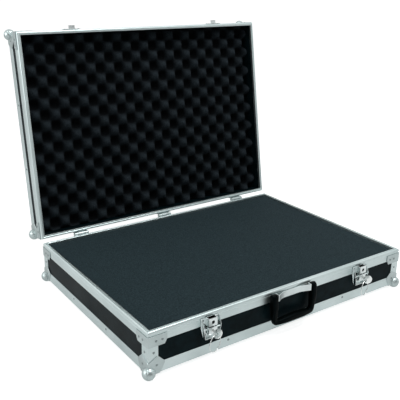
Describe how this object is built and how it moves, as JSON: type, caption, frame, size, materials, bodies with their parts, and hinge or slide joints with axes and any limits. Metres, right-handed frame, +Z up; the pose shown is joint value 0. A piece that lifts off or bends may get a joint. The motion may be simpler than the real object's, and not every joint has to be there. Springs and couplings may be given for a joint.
{
  "type": "guitar pedal case",
  "caption": "Shallow black case edged in aluminium with ball corners, its lid hinged open on egg-crate foam, with key latches and a drop handle.",
  "frame": {"origin": "centre of the open case's bounding box, at floor height, under the ball corners", "axes": "+X to the right seen from the front, +Y from the front with the handle to the back with the hinges, +Z up"},
  "size_m": [0.71, 0.6784, 0.5945],
  "materials": {
    "laminate": "black laminate on plywood, fine texture",
    "edging": "satin extruded",
    "plated_steel": "bright zinc plate",
    "rivet": "plain",
    "nickel": "polished nickel plate",
    "handle_plastic": "satin",
    "base_foam": "open-cell foam, flat skin cut into cubes",
    "lid_foam": "open-cell foam, egg-crate face"
  },
  "bodies": {
    "base": {"base_back_edge_angle": "edging", "base_back_panel": "laminate", "base_back_rim": "edging", "base_ball_corners": "plated_steel", "base_bottom_panel": "laminate", "base_foam": "base_foam", "base_front_edge_angle": "edging", "base_front_panel": "laminate", "base_front_rim": "edging", "base_left_edge_angle": "edging", "base_left_panel": "laminate", "base_left_rim": "edging", "base_right_edge_angle": "edging", "base_right_panel": "laminate", "base_right_rim": "edging", "base_rim_braces": "plated_steel", "base_rivets": "rivet", "base_uprights": "edging", "handle_bracket": "plated_steel", "hinge_base_leaves": "plated_steel", "hinge_pins": "plated_steel", "latch_covers": "plated_steel", "latch_plates": "plated_steel"},
    "lid": {"hinge_lid_leaves": "plated_steel", "latch_keepers": "plated_steel", "lid_back_edge_angle": "edging", "lid_back_panel": "laminate", "lid_back_rim": "edging", "lid_ball_corners": "plated_steel", "lid_foam": "lid_foam", "lid_front_edge_angle": "edging", "lid_front_panel": "laminate", "lid_front_rim": "edging", "lid_left_edge_angle": "edging", "lid_left_panel": "laminate", "lid_left_rim": "edging", "lid_right_edge_angle": "edging", "lid_right_panel": "laminate", "lid_right_rim": "edging", "lid_rim_braces": "plated_steel", "lid_rivets": "rivet", "lid_top_panel": "laminate", "lid_uprights": "edging"},
    "claw_left": {"latch_claw_left": "plated_steel"},
    "lever_left": {"latch_lever_left": "plated_steel"},
    "key_left": {"lock_plug_left": "nickel", "key_left": "nickel"},
    "ring_left": {"key_ring_left": "nickel"},
    "claw_right": {"latch_claw_right": "plated_steel"},
    "lever_right": {"latch_lever_right": "plated_steel"},
    "key_right": {"lock_plug_right": "nickel", "key_right": "nickel"},
    "ring_right": {"key_ring_right": "nickel"},
    "handle": {"handle_grip": "handle_plastic"}
  },
  "joints": [
    {"name": "lid_hinge", "type": "hinge", "parent": "base", "child": "lid", "pos_m": [0, 0.19192, 0.0984], "axis": [-1, 0, 0], "range_deg": [-99, 0]},
    {"name": "handle_swing", "type": "hinge", "parent": "base", "child": "handle", "pos_m": [0, -0.31109, 0.0874], "axis": [-1, 0, 0], "range_deg": [0, 85]},
    {"name": "claw_slide_left", "type": "slide", "parent": "base", "child": "claw_left", "axis": [0, 0, 1], "range_m": [0, 0.0215]},
    {"name": "lever_swing_left", "type": "hinge", "parent": "base", "child": "lever_left", "pos_m": [-0.208, -0.30958, 0.0694], "axis": [-1, 0, 0], "range_deg": [0, 40]},
    {"name": "key_turn_left", "type": "hinge", "parent": "lever_left", "child": "key_left", "pos_m": [-0.208, -0.31559, 0.0664], "axis": [0, -1, 0], "range_deg": [-45, 45]},
    {"name": "ring_swing_left", "type": "hinge", "parent": "key_left", "child": "ring_left", "pos_m": [-0.21111, -0.32519, 0.06309], "axis": [-0.9511, -0.309, 0], "range_deg": [-5, 75]},
    {"name": "claw_slide_right", "type": "slide", "parent": "base", "child": "claw_right", "axis": [0, 0, 1], "range_m": [0, 0.0215]},
    {"name": "lever_swing_right", "type": "hinge", "parent": "base", "child": "lever_right", "pos_m": [0.208, -0.30958, 0.0694], "axis": [-1, 0, 0], "range_deg": [0, 40]},
    {"name": "key_turn_right", "type": "hinge", "parent": "lever_right", "child": "key_right", "pos_m": [0.208, -0.31559, 0.0664], "axis": [0, -1, 0], "range_deg": [-45, 45]},
    {"name": "ring_swing_right", "type": "hinge", "parent": "key_right", "child": "ring_right", "pos_m": [0.20489, -0.32519, 0.06309], "axis": [-0.9511, -0.309, 0], "range_deg": [-5, 75]}
  ]
}
